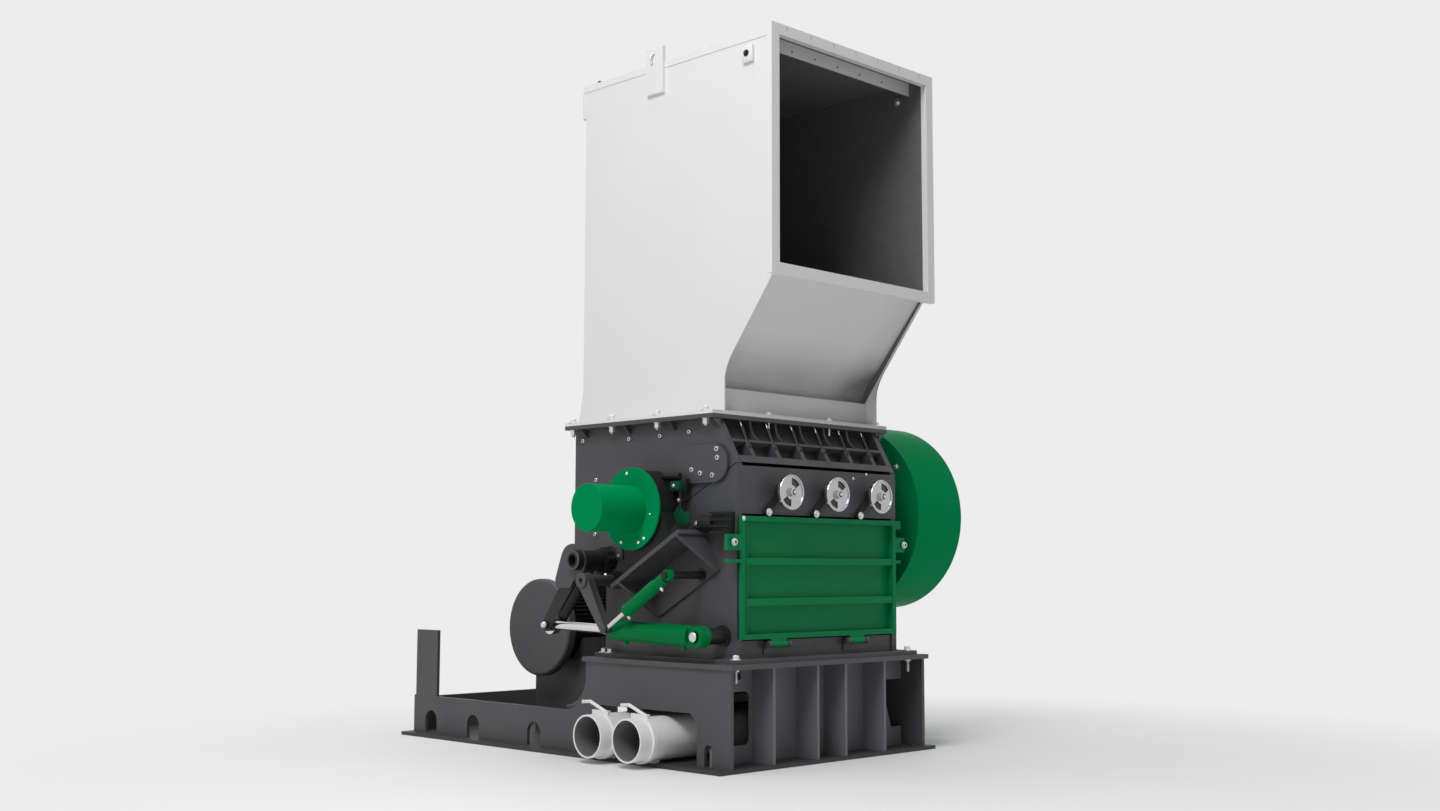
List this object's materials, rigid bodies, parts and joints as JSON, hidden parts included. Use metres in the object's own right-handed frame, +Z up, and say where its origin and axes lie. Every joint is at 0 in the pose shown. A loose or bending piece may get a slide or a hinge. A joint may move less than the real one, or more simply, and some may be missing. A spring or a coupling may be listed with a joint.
{
  "type": "plastic crusher",
  "caption": "Heavy floor-standing plastic crusher with a tilting feed hopper, hinged front door, hydraulic side cylinders, belt guard and drive motor.",
  "frame": {"origin": "on the floor, on the centre line, below the front face of the crushing housing", "axes": "+X to the machine's right side with the belt guard, +Y towards its rear with the motor, +Z up"},
  "size_m": [2.44, 2.869, 3.825],
  "materials": {
    "base_paint": "satin dark grey paint",
    "body_paint": "satin charcoal paint",
    "green_paint": "gloss green enamel",
    "hopper_paint": "satin white paint",
    "pipe_steel": "light grey paint",
    "dark_steel": "dark oiled steel",
    "dark_cast": "black painted casting",
    "tool_steel": "worn tool steel",
    "wheel_chrome": "cast aluminium",
    "rod_chrome": "hard chrome"
  },
  "bodies": {
    "fixed": {"base_plate": "base_paint", "base_wall_left": "base_paint", "base_wall_right": "base_paint", "base_front_panel": "base_paint", "base_top_plate": "base_paint", "rear_cross_plate": "base_paint", "saddle_plate": "base_paint", "rear_post": "base_paint", "discharge_pipes": "pipe_steel", "gate_valves": "pipe_steel", "lower_side_left": "body_paint", "lower_side_right": "body_paint", "lower_front_plate": "body_paint", "lower_back_plate": "body_paint", "housing_foot_flange": "body_paint", "bearing_consoles": "body_paint", "rotor_bearings": "dark_cast", "shaft_cover": "green_paint", "rotor": "tool_steel", "belt_guard": "green_paint", "guard_arms": "body_paint", "motor_body": "dark_cast", "motor_cowl": "body_paint", "motor_base": "dark_cast", "door_hinges": "body_paint", "clamp_dogs": "dark_steel", "cylinder_pins": "dark_steel", "shaft_bearings": "dark_steel", "oil_block": "dark_cast"},
    "upper_housing": {"upper_side_left": "body_paint", "upper_side_right": "body_paint", "upper_back_plate": "body_paint", "hinge_shaft": "dark_steel", "knife_bed": "body_paint", "hopper_side_left": "hopper_paint", "hopper_side_right": "hopper_paint", "hopper_back": "hopper_paint", "hopper_top": "hopper_paint", "hopper_slope": "hopper_paint", "throat_collar": "hopper_paint", "mouth_frame": "hopper_paint", "housing_flange": "body_paint", "hopper_flange": "hopper_paint", "lifting_lugs": "hopper_paint", "main_crank": "dark_steel", "round_side_cover": "body_paint"},
    "main_barrel": {"main_cylinder_barrel": "green_paint"},
    "main_rod": {"main_cylinder_rod": "rod_chrome"},
    "cradle": {"cradle_crank": "dark_steel", "screen_cradle": "dark_steel"},
    "cradle_barrel": {"cradle_cylinder_barrel": "green_paint"},
    "cradle_rod": {"cradle_cylinder_rod": "rod_chrome"},
    "door": {"front_door": "green_paint"},
    "wheel_left": {"handwheel_1": "wheel_chrome"},
    "wheel_middle": {"handwheel_2": "wheel_chrome"},
    "wheel_right": {"handwheel_3": "wheel_chrome"}
  },
  "joints": [
    {"name": "upper_tilt", "type": "hinge", "parent": "fixed", "child": "upper_housing", "pos_m": [0, 0.965, 1.037], "axis": [-1, 0, 0], "range_deg": [0, 45]},
    {"name": "main_cylinder_swing", "type": "hinge", "parent": "fixed", "child": "main_barrel", "pos_m": [-0.802, 0.093, 0.657], "axis": [1, 0, 0], "range_deg": [-7.2, 0]},
    {"name": "main_rod_slide", "type": "slide", "parent": "main_barrel", "child": "main_rod", "axis": [0, 0.9997, 0.0261], "range_m": [-0.326, 0]},
    {"name": "cradle_swing", "type": "hinge", "parent": "fixed", "child": "cradle", "pos_m": [0, 0.872, 0.93], "axis": [1, 0, 0], "range_deg": [0, 25]},
    {"name": "cradle_cylinder_swing", "type": "hinge", "parent": "fixed", "child": "cradle_barrel", "pos_m": [-0.885, 0.236, 0.961], "axis": [1, 0, 0], "range_deg": [0, 1.8]},
    {"name": "cradle_rod_slide", "type": "slide", "parent": "cradle_barrel", "child": "cradle_rod", "axis": [0, 0.8567, -0.5158], "range_m": [0, 0.132]},
    {"name": "door_hinge", "type": "hinge", "parent": "fixed", "child": "door", "pos_m": [0, -0.022, 0.612], "axis": [1, 0, 0], "range_deg": [0, 100]},
    {"name": "handwheel_left_turn", "type": "hinge", "parent": "fixed", "child": "wheel_left", "pos_m": [-0.318, -0.05, 1.385], "axis": [0, -1, 0], "continuous": true},
    {"name": "handwheel_middle_turn", "type": "hinge", "parent": "fixed", "child": "wheel_middle", "pos_m": [0.047, -0.05, 1.385], "axis": [0, -1, 0], "continuous": true},
    {"name": "handwheel_right_turn", "type": "hinge", "parent": "fixed", "child": "wheel_right", "pos_m": [0.409, -0.05, 1.385], "axis": [0, -1, 0], "continuous": true}
  ],
  "couplings": [
    {"joint": "main_cylinder_swing", "follows": "upper_tilt", "ratio": -0.15363},
    {"joint": "main_rod_slide", "follows": "upper_tilt", "m_per_rad": -0.40814},
    {"joint": "cradle_cylinder_swing", "follows": "cradle_swing", "ratio": 0.06381},
    {"joint": "cradle_rod_slide", "follows": "cradle_swing", "m_per_rad": 0.29723}
  ]
}
